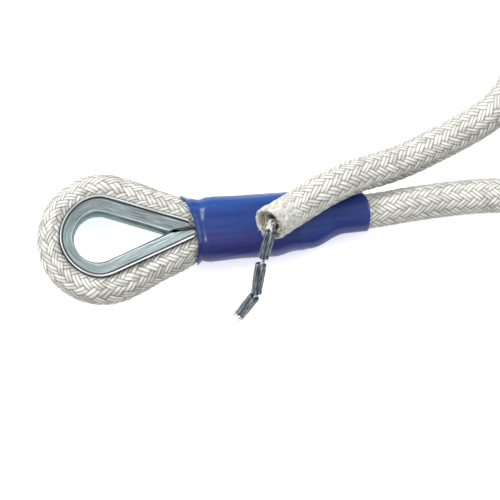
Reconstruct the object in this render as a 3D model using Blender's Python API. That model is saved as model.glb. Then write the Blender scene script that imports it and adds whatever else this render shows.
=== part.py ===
"""Thimble eye at the end of a lead-core braided rope.

The rope goes round a pressed steel thimble and back along itself. The two legs are seized together at the
throat and covered by a heat-shrink sleeve. The rope leaves the sleeve, is stored in a coil and comes back with
its cut end lying on the sleeve, where the string of lead links inside the rope hangs out.

Frame: metres, +Z up, z = 0 is the surface it lies on. +X runs from the eye to the sleeve, and the origin is in
the middle of the eye and sleeve together.
"""
import math

import bmesh
import bpy
from mathutils import Vector

MM = 0.001
UP = Vector((0.0, 0.0, 1.0))
GAP = 0.3 * MM

# Rope and the eye
ROPE_R = 7.0 * MM
MID_Z = 8.5 * MM                 # height of the eye's middle plane
EYE_X = -42.3 * MM               # centre of the thimble's round opening
CROWN_R = 9.7 * MM               # radius of that opening
LEG_ANGLE = math.radians(20.8)   # each leg of the thimble to the X axis
SHEET = 1.3 * MM                 # thickness of the thimble's sheet
EYE_ROPE_R = 19.8 * MM           # rope's centreline round the crown
EYE_ROPE_X = EYE_X + 1.85 * MM   # centre of that arc
EYE_ROPE_TURN = math.radians(65.0)   # where that arc starts and ends, from the X axis
EYE_ROPE_SIZE = (6.8 * MM, 7.0 * MM)   # half width and half height of the rope round the crown
CROWN_SQUEEZE = 0.17 * MM        # taken off its half width at the crown, where it is pulled tight

# The thimble's legs, in mm from the eye's centre
THROAT_END = 31.0                # where the throat strips stop
UPPER_TIP = (36.6, 1.5)          # where the flange stops, and its gap to the X axis
LOWER_TIP = (38.6, 0.1)
CROWN_DEPTH = 0.74               # the channel's depth at the crown, as a part of that on the legs

# Shrink sleeve
SLEEVE_WALL = 0.9 * MM
SLEEVE_END = 109.2               # mm from the eye's centre
EDGE_BEND = 14.0                 # 1/m: the end by the eye is drawn forward, as this times (y - EDGE_Y) squared
EDGE_Y = -5.0 * MM
EDGE_FADE = 9.0                  # mm from the end to where the sections are straight
SEIZING_T = 0.8 * MM
SEIZING_X = (42.0, 47.0)         # mm from the eye's centre
WHIPPING_T = 0.5 * MM
WHIPPING_X = (80.0, 84.0)

# Free rope: the coil, and hand-laid routes to it and from it
COIL_CENTRE = (EYE_X + 257.0 * MM, 53.5 * MM)
COIL_START = math.radians(233.0)
COIL_TURNS = 4.77
COIL_OUTER = 83.0 * MM
COIL_INNER = 46.6 * MM
COIL_PITCH = 14.3 * MM
COIL_LOW = 8.3 * MM              # height of the lower turns, which lie on the ties
COIL_HIGH = 22.6 * MM
COIL_CLIMB = math.radians(80.0)
STANDING_ROUTE = [
    (66.9, 3.8, 8.5), (73.7, 4.4, 8.2), (83.7, 5.5, 7.5), (96.1, 6.5, 7.1), (107.7, 6.9, 7.1),
    (118.7, 6.6, 7.2), (129.7, 4.6, 7.6), (140.7, 0.4, 8.1), (152.2, -6.2, 8.3),
]
TAIL_ROUTE = [
    (139.9, 80.5, 22.4), (136.2, 68.5, 21.4), (133.0, 57.8, 18.6), (128.3, 49.2, 14.8),
    (122.0, 42.4, 11.2), (113.9, 37.4, 8.6), (104.5, 33.0, 7.3), (94.6, 28.6, 7.5), (83.4, 23.7, 9.9),
    (73.1, 19.9, 13.6), (63.1, 16.9, 17.6), (54.7, 13.3, 21.0), (46.7, 9.2, 23.7), (38.6, 4.5, 24.8),
    (33.1, 1.2, 26.3), (27.0, -2.45, 28.6),
]
TUBE_STEP = 6.0 * MM             # spacing of the points along a rope tube

# Solid that stands for the coil, and the ties round it
RING_CENTRE = (EYE_X + 256.5 * MM, 50.8 * MM)
RING_OUTER = 85.5 * MM
RING_INNER = 40.5 * MM
RING_Z = (1.3 * MM, 29.7 * MM)
RING_ROUND = 6.0 * MM
TIE_ANGLES = {"coil_tie_1": math.radians(60.0), "coil_tie_2": math.radians(300.0)}
TIE_T = 1.0 * MM
TIE_W = 10.0 * MM

# Cut end of the rope, and the lead string
END_LENGTH = 18.0 * MM
COVER_BORE = 4.9 * MM
CORE_R = COVER_BORE - GAP
CORE_BORE = 2.9 * MM
CORE_RECESS = 0.8 * MM           # the inner braid stops short of the cover's cut
LINK_R = 2.3 * MM
LINK_BORE = 1.2 * MM
LINK_BORE_DEPTH = 2.0 * MM
LINK_CHAMFER = 0.3 * MM
STRING_R = 0.6 * MM
STRING_IN = 1.4 * MM             # how far a piece of string goes into a link's bore
LINKS = {
    "lead_link_1": ((26.5, -6.1, 29.9), (22.8, -14.9, 22.0)),
    "lead_link_2": ((21.85, -16.8, 20.6), (19.05, -27.6, 14.0)),
    "lead_link_3": ((18.5, -28.25, 12.2), (11.75, -33.9, 3.2)),
}
HIDDEN_LINKS = {"lead_link_4": (3.2, 9.6), "lead_link_5": (11.2, 17.6)}   # depths of their ends, in mm
TIP_LENGTH = 3.0 * MM
STRING_BEND = 0.9 * MM           # from a link's end to the bend of the string above it
MOUTH_BEND = 1.2 * MM            # from the rope's cut to the bend of the string outside it

ROPE_WHITE = (0.80, 0.79, 0.74)
STEEL_GREY = (0.50, 0.54, 0.55)
SLEEVE_BLUE = (0.045, 0.065, 0.28)
LEAD_GREY = (0.16, 0.19, 0.22)
STRING_WHITE = (0.82, 0.82, 0.80)
TWINE_WHITE = (0.70, 0.69, 0.62)
TIE_BLACK = (0.03, 0.03, 0.035)


def clear_scene():
    for obj in list(bpy.data.objects):
        bpy.data.objects.remove(obj, do_unlink=True)


def material(name, colour, roughness, metallic=0.0):
    mat = bpy.data.materials.new(name)
    mat.use_nodes = True
    shader = mat.node_tree.nodes["Principled BSDF"]
    shader.inputs["Base Color"].default_value = (*colour, 1.0)
    shader.inputs["Roughness"].default_value = roughness
    shader.inputs["Metallic"].default_value = metallic
    return mat


def point(values):
    """A place given in millimetres."""
    return Vector(values) * MM


def loft(name, rings, mat, closed=False, origin=Vector((0, 0, 0)), sharp=math.radians(35.0)):
    """A solid through rings of equally many points: capped at both ends, or closed back to its first ring."""
    count = len(rings[0])
    bm = bmesh.new()
    verts = [[bm.verts.new(p - origin) for p in ring] for ring in rings]
    pairs = list(zip(verts, verts[1:]))
    if closed:
        pairs.append((verts[-1], verts[0]))
    for a, b in pairs:
        for k in range(count):
            n = (k + 1) % count
            bm.faces.new((a[k], a[n], b[n], b[k]))
    if not closed:
        bm.faces.new(verts[0][::-1])
        bm.faces.new(verts[-1])
    bmesh.ops.recalc_face_normals(bm, faces=bm.faces)
    mesh = bpy.data.meshes.new(name)
    bm.to_mesh(mesh)
    bm.free()
    mesh.shade_smooth()
    mesh.set_sharp_from_angle(angle=sharp)
    mesh.materials.append(mat)
    obj = bpy.data.objects.new(name, mesh)
    obj.location = origin
    bpy.context.scene.collection.objects.link(obj)
    return obj


def smooth_curve(points, steps=10):
    """A Catmull-Rom curve through the points."""
    ends = [2 * points[0] - points[1], *points, 2 * points[-1] - points[-2]]
    curve = []
    for a, b, c, d in zip(ends, ends[1:], ends[2:], ends[3:]):
        for k in range(steps):
            t = k / steps
            curve.append(0.5 * (2 * b + (c - a) * t + (2 * a - 5 * b + 4 * c - d) * t ** 2
                                + (3 * b - a - 3 * c + d) * t ** 3))
    curve.append(points[-1])
    return curve


def resample(curve, step):
    """The same curve with its points evenly spaced, about one step apart."""
    lengths = [0.0]
    for a, b in zip(curve, curve[1:]):
        lengths.append(lengths[-1] + (b - a).length)
    count = max(2, round(lengths[-1] / step))
    out = []
    k = 0
    for i in range(count + 1):
        s = lengths[-1] * i / count
        while k < len(curve) - 2 and lengths[k + 1] < s:
            k += 1
        t = (s - lengths[k]) / (lengths[k + 1] - lengths[k])
        out.append(curve[k].lerp(curve[k + 1], min(t, 1.0)))
    return out


def tube(name, route, mat):
    """A rope's tube: a curve with filled caps along the route."""
    curve = bpy.data.curves.new(name, "CURVE")
    curve.dimensions = "3D"
    curve.bevel_depth = ROPE_R
    curve.bevel_resolution = 3
    curve.use_fill_caps = True
    spline = curve.splines.new("POLY")
    spline.points.add(len(route) - 1)
    for spot, p in zip(spline.points, route):
        spot.co = (*p, 1.0)
    curve.materials.append(mat)
    obj = bpy.data.objects.new(name, curve)
    bpy.context.scene.collection.objects.link(obj)
    return obj


def ease(t):
    t = min(max(t, 0.0), 1.0)
    return t * t * (3.0 - 2.0 * t)


def interpolate(table, x):
    """Eased values between the rows of a table, whose first column is x."""
    if x <= table[0][0]:
        return table[0][1:]
    for a, b in zip(table, table[1:]):
        if x <= b[0]:
            t = ease((x - a[0]) / (b[0] - a[0]))
            return tuple(p + (q - p) * t for p, q in zip(a[1:], b[1:]))
    return table[-1][1:]


# The two legs in the sleeve: x from the eye's centre, side position, half width and half height, all in mm
STANDING_LEG = [
    (26.0, 11.1, 7.1, 7.0), (33.0, 8.3, 6.8, 6.9), (34.2, 7.85, 6.7, 6.85), (38.4, 6.75, 6.1, 6.2),
    (41.4, 6.3, 5.5, 6.15), (47.6, 6.35, 5.35, 6.15), (50.0, 6.9, 5.7, 6.7), (70.0, 7.0, 5.7, 6.7),
    (80.0, 6.75, 6.1, 6.45), (85.0, 6.0, 6.35, 6.45), (90.0, 4.9, 6.7, 6.75), (99.0, 3.5, 6.9, 6.8),
    (108.7, 3.8, 6.9, 6.8),
]
DEAD_LEG = [
    (26.0, -11.0, 7.1, 7.0), (33.0, -8.0, 6.8, 6.9), (38.4, -5.8, 6.1, 6.6), (41.4, -5.0, 5.5, 6.15),
    (47.6, -4.6, 5.35, 6.15), (50.0, -4.8, 5.7, 6.7), (70.0, -4.9, 5.7, 6.7), (80.0, -4.8, 3.9, 5.5),
    (85.0, -4.8, 3.4, 4.6), (99.0, 0.6, 4.0, 5.0), (108.7, 1.0, 4.0, 5.0),
]
DEAD_END = 85.0
THROAT_STATIONS = [26.0, 33.0, 34.2, 35.4, 36.6, 38.2]
SQUARE_FROM = 25.0               # past this the rope's sections stand square across the X axis

# The sleeve's sections: x from the eye's centre in mm, and how far its inside is off the legs
FLARE = 0.6 * MM
OVER_SEIZING = GAP + SEIZING_T + GAP
OVER_WHIPPING = GAP + WHIPPING_T + GAP
SLEEVE_STATIONS = [
    (39.8, FLARE), (40.4, FLARE), (41.4, OVER_SEIZING), (44.5, OVER_SEIZING),
    (47.6, OVER_SEIZING), (49.4, GAP), (54.0, GAP), (60.0, GAP), (66.0, GAP), (72.0, GAP), (78.0, GAP),
    (80.0, OVER_WHIPPING), (82.5, OVER_WHIPPING), (85.0, OVER_WHIPPING), (88.0, GAP), (91.0, GAP), (94.0, GAP),
    (97.0, GAP), (100.0, GAP), (104.0, GAP), (108.7, GAP),
]


def leg(table, x):
    """Side position and half sizes of a leg at a distance x in millimetres from the eye's centre."""
    return tuple(v * MM for v in interpolate(table, x))


def channel_profile(depth):
    """The thimble's section, outward and up: its inner face, then its outer face a sheet's thickness away."""
    half = [(0.0, 1.6), (0.45, 3.1), (1.9, 4.9), (4.4, 7.1), (6.3, 8.5), (7.2, 8.5)]
    face = [Vector((n * depth, z)) * MM for n, z in half]
    face = [Vector((p.x, -p.y)) for p in reversed(face)] + face
    back = []
    for k, p in enumerate(face):
        along = face[min(k + 1, len(face) - 1)] - face[max(k - 1, 0)]
        along.normalize()
        back.append(p + Vector((along.y, -along.x)) * SHEET)
    back[0] = Vector((face[0].x, face[0].y + SHEET))
    back[-1] = Vector((face[-1].x, face[-1].y - SHEET))
    back[1] = Vector((back[1].x + 0.1 * MM, back[0].y + 0.1 * MM))
    back[-2] = Vector((back[-2].x + 0.1 * MM, back[-1].y - 0.1 * MM))
    return face + back[::-1]


def leg_reach(out, up, tip, inner_gap):
    """How far a leg of the thimble runs past the crown's arc at one point of its section."""
    lift = ease((abs(up) / MM - 3.0) / 4.0)
    stop = (0.35 * (1.0 - lift) + inner_gap * lift) * MM
    meet = ((CROWN_R + out) * math.cos(LEG_ANGLE) - stop) / math.sin(LEG_ANGLE)
    x_limit = (THROAT_END + (tip - THROAT_END) * ease((abs(up) / MM - 3.5) / 3.5)) * MM
    x_limit -= 0.10 * (out / MM - 5.0) ** 2 * MM
    cut = (x_limit - (CROWN_R + out) * math.sin(LEG_ANGLE)) / math.cos(LEG_ANGLE)
    return min(meet, cut)


def thimble(mat):
    """A teardrop of pressed sheet, open outwards for the rope, with flared and flattened rims."""
    centre = Vector((EYE_X, 0.0, MID_Z))
    arc_end = math.pi / 2 - LEG_ANGLE
    leg_steps, arc_steps = 7, 23
    rings = []

    def ring(angle, run, side):
        depth = CROWN_DEPTH + (1.0 - CROWN_DEPTH) * ease((math.cos(angle) + 1.0) / 1.2)
        out_dir = Vector((math.cos(angle), math.sin(angle), 0.0))
        along = Vector((math.cos(LEG_ANGLE), -side * math.sin(LEG_ANGLE), 0.0))
        tip = UPPER_TIP if side > 0 else LOWER_TIP
        spots = []
        for p in channel_profile(depth):
            reach = leg_reach(p.x, p.y, *tip) * run
            spots.append(centre + out_dir * (CROWN_R + p.x) + along * reach + UP * p.y)
        return spots

    for k in range(leg_steps):
        rings.append(ring(arc_end, 1.0 - k / leg_steps, 1))
    for k in range(arc_steps + 1):
        angle = arc_end + (2 * math.pi - 2 * arc_end) * k / arc_steps
        rings.append(ring(angle, 0.0, 1))
    for k in range(1, leg_steps + 1):
        rings.append(ring(-arc_end, k / leg_steps, -1))
    return loft("thimble", rings, mat)


def eye_rope(mat):
    """The rope from the sleeve's far end, round the thimble, and back to its dead end."""
    stations = []
    inside = [x for x, _ in SLEEVE_STATIONS]
    for x in [*inside[::-1], *THROAT_STATIONS[::-1]]:
        y, a, b = leg(STANDING_LEG, x)
        stations.append((Vector((EYE_X + x * MM, y, MID_Z)), a, b))
    half_turn = math.pi - EYE_ROPE_TURN
    arc_steps = 20
    centre = Vector((EYE_ROPE_X, 0.0, MID_Z))
    width, height = EYE_ROPE_SIZE
    for k in range(arc_steps + 1):
        angle = EYE_ROPE_TURN + 2 * half_turn * k / arc_steps
        out = Vector((math.cos(angle), math.sin(angle), 0.0))
        stations.append((centre + out * EYE_ROPE_R, width + math.cos(angle) * CROWN_SQUEEZE, height))
    for x in [*THROAT_STATIONS, *(x for x in inside if x <= DEAD_END)]:
        y, a, b = leg(DEAD_LEG, x)
        stations.append((Vector((EYE_X + x * MM, y, MID_Z)), a, b))
    sides = 14
    rings = []
    for k, (middle, a, b) in enumerate(stations):
        ahead = stations[min(k + 1, len(stations) - 1)][0] - stations[max(k - 1, 0)][0]
        side = ahead.cross(UP).normalized()
        if middle.x > EYE_X + SQUARE_FROM * MM:
            side = Vector((0.0, 1.0, 0.0)) * (1 if side.y > 0 else -1)
        turn = [2 * math.pi * (j + 0.5) / sides for j in range(sides)]
        rings.append([middle + side * a * math.cos(t) + UP * b * math.sin(t) for t in turn])
    return loft("eye_rope", rings, mat)


def hull_ring(x, legs, offset, bend=0.0, sides=24):
    """The outline of a skin stretched round both legs at x (mm from the eye's centre), held off by offset."""
    def shift(y):
        return -bend * (y - EDGE_Y) ** 2

    ring = []
    for j in range(sides):
        turn = 2 * math.pi * (j + 0.5) / sides
        c, s = math.cos(turn), math.sin(turn)
        best = None
        for table in legs:
            y, a, b = leg(table, x)
            y, a, b = leg(table, x + shift(y + a * c) / MM)
            a, b = a + offset, b + offset
            h = math.sqrt((a * c) ** 2 + (b * s) ** 2)
            if best is None or y * c + h > best[0]:
                best = (y * c + h, y + a * a * c / h, b * b * s / h)
        ring.append(Vector((EYE_X + x * MM + shift(best[1]), best[1], MID_Z + best[2])))
    return ring


def band(name, span, legs, inner, outer, mat, sides=24):
    """A band round the legs from span[0] to span[1], in mm from the eye's centre."""
    first, last = span
    steps = 3
    xs = [first + (last - first) * k / steps for k in range(steps + 1)]
    rings = [hull_ring(x, legs, outer, sides=sides) for x in xs]
    rings += [hull_ring(x, legs, inner, sides=sides) for x in reversed(xs)]
    return loft(name, rings, mat, closed=True)


def shrink_sleeve(mat):
    """The sleeve follows the legs and rises over the seizing at the throat."""
    legs = (STANDING_LEG, DEAD_LEG)
    first = SLEEVE_STATIONS[0][0]
    bends = [EDGE_BEND * (1.0 - ease((x - first) / EDGE_FADE)) for x, _ in SLEEVE_STATIONS]
    outer = [hull_ring(x, legs, d + SLEEVE_WALL, bend) for (x, d), bend in zip(SLEEVE_STATIONS, bends)]
    inner = [hull_ring(x, legs, d, bend) for (x, d), bend in zip(SLEEVE_STATIONS, bends)]
    lip = hull_ring(SLEEVE_END, legs, GAP + 0.5 * SLEEVE_WALL)
    return loft("shrink_sleeve", outer + [lip] + inner[::-1], mat, closed=True)


def coil_route():
    """The coil's centreline: in along the lower layer, up, and out again along the upper layer."""
    turn_back = COIL_START + 2 * math.pi * (COIL_OUTER - COIL_INNER) / COIL_PITCH
    per_turn = 14
    count = round(COIL_TURNS * per_turn)
    route = []
    for k in range(count + 1):
        angle = COIL_START + 2 * math.pi * COIL_TURNS * k / count
        radius = COIL_INNER + COIL_PITCH * abs(angle - turn_back) / (2 * math.pi)
        z = COIL_LOW + (COIL_HIGH - COIL_LOW) * ease((angle - turn_back) / COIL_CLIMB + 0.5)
        route.append(Vector((COIL_CENTRE[0] + radius * math.cos(angle),
                             COIL_CENTRE[1] + radius * math.sin(angle), z)))
    return route


def clear_of_ring(p):
    """Whether a rope's tube at p stays outside the coil's solid."""
    return math.hypot(p.x - RING_CENTRE[0], p.y - RING_CENTRE[1]) > RING_OUTER + ROPE_R + GAP


def free_ropes(mat):
    """The two straight stretches of the free rope, each up to the coil's solid."""
    route = [point(p) for p in STANDING_ROUTE] + coil_route() + [point(p) for p in TAIL_ROUTE]
    points = resample(smooth_curve(route), TUBE_STEP)
    first = next(k for k, p in enumerate(points) if not clear_of_ring(p))
    last = len(points) - next(k for k, p in enumerate(reversed(points)) if not clear_of_ring(p))
    standing = points[:first]
    standing[0] = standing[0] + Vector((GAP, 0.0, 0.0))
    tube("standing_rope", standing, mat)
    stop, inward = into_end(END_LENGTH + GAP)
    tail = [p for p in points[last:] if (p - stop).dot(inward) > TUBE_STEP]
    tube("tail_rope", tail + [stop + inward * TUBE_STEP / 2, stop], mat)


def rope_coil(mat):
    """A turned ring with the coil's outer shape."""
    corners = [
        (RING_OUTER - RING_ROUND, RING_Z[0] + RING_ROUND, -math.pi / 2),
        (RING_OUTER - RING_ROUND, RING_Z[1] - RING_ROUND, 0.0),
        (RING_INNER + RING_ROUND, RING_Z[1] - RING_ROUND, math.pi / 2),
        (RING_INNER + RING_ROUND, RING_Z[0] + RING_ROUND, math.pi),
    ]
    profile = []
    for r, z, start in corners:
        for k in range(3):
            angle = start + math.pi / 4 * k
            profile.append((r + RING_ROUND * math.cos(angle), z + RING_ROUND * math.sin(angle)))
    segments = 48
    rings = []
    for k in range(segments):
        angle = 2 * math.pi * k / segments
        rings.append([
            Vector((RING_CENTRE[0] + r * math.cos(angle), RING_CENTRE[1] + r * math.sin(angle), z))
            for r, z in profile
        ])
    return loft("rope_coil", rings, mat, closed=True, sharp=math.radians(50.0))


def coil_tie(name, angle, mat):
    """A strap round the coil's turns at one angle."""
    out = Vector((math.cos(angle), math.sin(angle), 0.0))
    along = Vector((-math.sin(angle), math.cos(angle), 0.0))
    centre = Vector((*RING_CENTRE, 0.0))
    bulge = RING_INNER - math.sqrt(RING_INNER ** 2 - (TIE_W / 2) ** 2)

    def loop(offset, shift):
        low, high = RING_INNER - bulge - offset, RING_OUTER + offset
        bottom, top = RING_Z[0] - offset, RING_Z[1] + offset
        round_off = RING_ROUND * 0.5
        spots = [
            (high - round_off, bottom), (high, bottom + round_off), (high, top - round_off),
            (high - round_off, top), (low + round_off, top), (low, top - round_off),
            (low, bottom + round_off), (low + round_off, bottom),
        ]
        return [centre + out * r + UP * z + along * shift for r, z in spots]

    half = TIE_W / 2
    rings = [loop(GAP + TIE_T, -half), loop(GAP + TIE_T, half), loop(GAP, half), loop(GAP, -half)]
    return loft(name, rings, mat, closed=True)


def into_end(depth):
    """The place at a depth in from the cut end, and the direction further in."""
    line = resample(smooth_curve([point(p) for p in TAIL_ROUTE[:-7:-1]], 20), MM)
    step = (line[1] - line[0]).length
    k = min(int(depth / step), len(line) - 3)
    place = line[k].lerp(line[k + 1], depth / step - k)
    return place, (line[k + 2] - line[max(k - 1, 0)]).normalized()


def circle(centre, axis, radius, sides):
    side = axis.cross(UP).normalized()
    other = axis.cross(side)
    turns = [2 * math.pi * (k + 0.5) / sides for k in range(sides)]
    return [centre + side * radius * math.cos(t) + other * radius * math.sin(t) for t in turns]


def hose(name, start, outer, inner, mat, sides=18):
    """An open-ended tube along the rope's end, from a depth of start to END_LENGTH."""
    steps = 5
    depths = [start + (END_LENGTH - start) * k / steps for k in range(steps + 1)]
    outside = [(start, outer - 0.5 * MM), (start + 0.5 * MM, outer)] + [(d, outer) for d in depths[1:]]
    inside = [(d, inner) for d in depths[::-1]]
    return loft(name, [circle(*into_end(d), r, sides) for d, r in outside + inside], mat, closed=True)


def lead_link(name, start, end, mat, origin=Vector((0, 0, 0))):
    """A crimped lead bead with a blind bore in each end for the string."""
    axis = (end - start).normalized()
    length = (end - start).length
    sides = 14
    stations = [
        (LINK_BORE_DEPTH, LINK_BORE), (0.0, LINK_BORE), (0.0, LINK_R - LINK_CHAMFER), (LINK_CHAMFER, LINK_R),
        (length - LINK_CHAMFER, LINK_R), (length, LINK_R - LINK_CHAMFER), (length, LINK_BORE),
        (length - LINK_BORE_DEPTH, LINK_BORE),
    ]
    rings = [circle(start + axis * s, axis, r, sides) for s, r in stations]
    return loft(name, rings, mat, origin=origin)


def string_piece(name, spots, mat, origin=Vector((0, 0, 0))):
    """A piece of string through a few points."""
    rings = []
    for k, p in enumerate(spots):
        along = spots[min(k + 1, len(spots) - 1)] - spots[max(k - 1, 0)]
        rings.append(circle(p, along.normalized(), STRING_R, 8))
    return loft(name, rings, mat, origin=origin)


def lead_string(lead, string):
    """The hidden and the hanging lead links, with the string between them."""
    end, inward = into_end(0.0)
    spans = {name: tuple(point(p) for p in ends) for name, ends in LINKS.items()}
    hidden = {
        name: (into_end(top * MM)[0], into_end(foot * MM)[0]) for name, (top, foot) in HIDDEN_LINKS.items()
    }
    for name, (a, b) in hidden.items():
        lead_link(name, a, b, lead)
    chain = list(spans.values())
    pivots = [mouth_pivot(), joint_pivot(chain[0], chain[1]), joint_pivot(chain[1], chain[2])]
    for (name, (a, b)), pivot in zip(spans.items(), pivots):
        lead_link(name, a, b, lead, pivot)
    first = chain[0]
    down = (first[1] - first[0]).normalized()
    top, foot = hidden["lead_link_4"]
    string_piece("string_mouth", [
        top + (foot - top).normalized() * STRING_IN, end + inward * CORE_RECESS, end - inward * MOUTH_BEND,
        first[0] - down * STRING_BEND, first[0] + down * STRING_IN,
    ], string)
    for name, upper, lower, pivot in (
        ("string_1_2", chain[0], chain[1], pivots[0]),
        ("string_2_3", chain[1], chain[2], pivots[1]),
    ):
        up_axis = (upper[1] - upper[0]).normalized()
        low_axis = (lower[1] - lower[0]).normalized()
        middle = (upper[1] + lower[0]) / 2
        string_piece(name, [upper[1] - up_axis * STRING_IN, middle, lower[0] + low_axis * STRING_IN],
                     string, pivot)
    last = chain[2]
    out = (last[1] - last[0]).normalized()
    level = Vector((out.x, out.y, 0.0)).normalized()
    string_piece("string_tip", [
        last[1] - out * STRING_IN, last[1] + out * STRING_R, last[1] + level * TIP_LENGTH - UP * STRING_BEND,
    ], string, pivots[2])
    below, beyond = hidden["lead_link_5"]
    string_piece("string_4_5", [
        foot + (top - foot).normalized() * STRING_IN, (foot + below) / 2,
        below + (beyond - below).normalized() * STRING_IN,
    ], string)


def mouth_pivot():
    """Where the string bends between the rope's mouth and the first link."""
    start, end = (point(p) for p in LINKS["lead_link_1"])
    return start - (end - start).normalized() * STRING_BEND


def joint_pivot(upper, lower):
    """Where the string bends between two links."""
    return (upper[1] + lower[0]) / 2


def cut_end(cover, core):
    """The open end of the rope: its braided cover and the inner braid round the lead string."""
    hose("cut_end_cover", 0.0, ROPE_R, COVER_BORE, cover)
    hose("cut_end_core", CORE_RECESS, CORE_R, CORE_BORE, core)


def main():
    clear_scene()
    rope = material("rope_white", ROPE_WHITE, 0.75)
    core = material("core_white", ROPE_WHITE, 0.85)
    steel = material("galvanised_steel", STEEL_GREY, 0.35, 1.0)
    blue = material("sleeve_blue", SLEEVE_BLUE, 0.35)
    lead = material("lead_grey", LEAD_GREY, 0.45, 1.0)
    string = material("string_white", STRING_WHITE, 0.7)
    twine = material("twine_white", TWINE_WHITE, 0.8)
    strap = material("strap_black", TIE_BLACK, 0.7)
    legs = (STANDING_LEG, DEAD_LEG)

    thimble(steel)
    eye_rope(rope)
    band("throat_seizing", SEIZING_X, legs, GAP, GAP + SEIZING_T, twine)
    band("tail_whipping", WHIPPING_X, (DEAD_LEG,), GAP, GAP + WHIPPING_T, twine, sides=16)
    shrink_sleeve(blue)
    free_ropes(rope)
    rope_coil(rope)
    for name, angle in TIE_ANGLES.items():
        coil_tie(name, angle, strap)
    cut_end(rope, core)
    lead_string(lead, string)


main()
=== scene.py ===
"""Looks of the thimble eye: braided rope, pressed thimble, shrink sleeve, lead string and stored coil.

Frame: metres, +Z up, z = 0 is the surface it lies on, +X from the eye to the sleeve.
"""
import math
import random

import bpy
import numpy as np
from mathutils import Matrix, Vector, geometry, noise


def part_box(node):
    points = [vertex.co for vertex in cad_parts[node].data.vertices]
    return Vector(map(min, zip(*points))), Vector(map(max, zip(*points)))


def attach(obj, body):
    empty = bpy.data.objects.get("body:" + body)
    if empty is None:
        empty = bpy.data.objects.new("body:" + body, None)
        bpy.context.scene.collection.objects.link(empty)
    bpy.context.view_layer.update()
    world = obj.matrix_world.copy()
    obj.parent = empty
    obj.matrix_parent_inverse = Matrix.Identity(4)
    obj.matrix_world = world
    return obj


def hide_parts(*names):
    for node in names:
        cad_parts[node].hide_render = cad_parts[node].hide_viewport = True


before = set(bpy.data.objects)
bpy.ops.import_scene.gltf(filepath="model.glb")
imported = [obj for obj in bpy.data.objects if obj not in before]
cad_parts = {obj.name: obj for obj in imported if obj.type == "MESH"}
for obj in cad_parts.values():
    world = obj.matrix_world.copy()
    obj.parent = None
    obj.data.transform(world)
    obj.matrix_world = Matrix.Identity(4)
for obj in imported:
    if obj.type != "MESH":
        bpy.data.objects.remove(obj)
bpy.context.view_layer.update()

MM = 0.001
UP = Vector((0.0, 0.0, 1.0))

# The eye and the rope, as in the CAD
EYE_REACH = 24.41 * MM  # from the eye rope's outermost point to the middle of the thimble's round
RIM_HEIGHT = 8.5  # mm from the thimble's middle to the faces of its rims
EYE = Vector((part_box("eye_rope")[0][0] + EYE_REACH, 0.0, RIM_HEIGHT * MM))
ROPE_R = 7.0 * MM
CROWN_R = 9.7 * MM
LEG_ANGLE = math.radians(20.8)
SHEET = 1.3  # the thimble's steel, mm
CROWN_DEPTH = 0.74  # the channel's depth at the crown, as a part of its depth at the legs
THROAT_END = 31.0  # mm from the eye's centre to the legs' ends, in the channel's throat
LEG_TIPS = {1: (37.0, 1.5), -1: (38.9, 0.1)}  # each rim's tip and its gap to the middle line, mm
EYE_ROPE_R = 19.8 * MM
EYE_ROPE_X = 1.85 * MM
SLEEVE_START = 39.8  # mm from the eye's centre
SLEEVE_END = 109.2
SLEEVE_WALL = 0.9
SLEEVE_GAP = 0.3
NECK_END = 44.8  # the neck in the sleeve is over here
# The sleeve's two edges bow towards the eye: how strongly, and the side position that stays furthest back
EDGE_BEND, EDGE_Y = 0.014, -5.0
END_BEND, END_Y = 0.028, 2.0
EDGE_FADE = 9.0  # mm

# The two legs in the sleeve: mm from the eye's centre, side position, half width, half height
STANDING_LEG = [
    (26.0, 11.1, 7.1, 7.0), (33.0, 8.3, 6.8, 6.9), (34.2, 7.85, 6.7, 6.85), (38.4, 6.75, 6.1, 6.2),
    (41.4, 6.3, 5.5, 6.15), (47.6, 6.35, 5.35, 6.15), (50.0, 6.9, 5.7, 6.7), (70.0, 7.0, 5.7, 6.7),
    (80.0, 6.75, 6.1, 6.45), (85.0, 6.0, 6.35, 6.45), (90.0, 4.9, 6.7, 6.75), (99.0, 3.5, 6.9, 6.8),
    (108.7, 3.8, 6.9, 6.8),
]
DEAD_LEG = [
    (26.0, -11.0, 7.1, 7.0), (33.0, -8.0, 6.8, 6.9), (38.4, -5.8, 6.1, 6.6), (41.4, -5.0, 5.5, 6.15),
    (47.6, -4.6, 5.35, 6.15), (50.0, -4.8, 5.7, 6.7), (70.0, -4.9, 5.7, 6.7), (80.0, -4.8, 3.9, 5.5),
    (85.0, -4.8, 3.4, 4.6), (99.0, 0.6, 4.0, 5.0), (108.7, 1.0, 4.0, 5.0),
]
DEAD_END = 85.0

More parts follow.
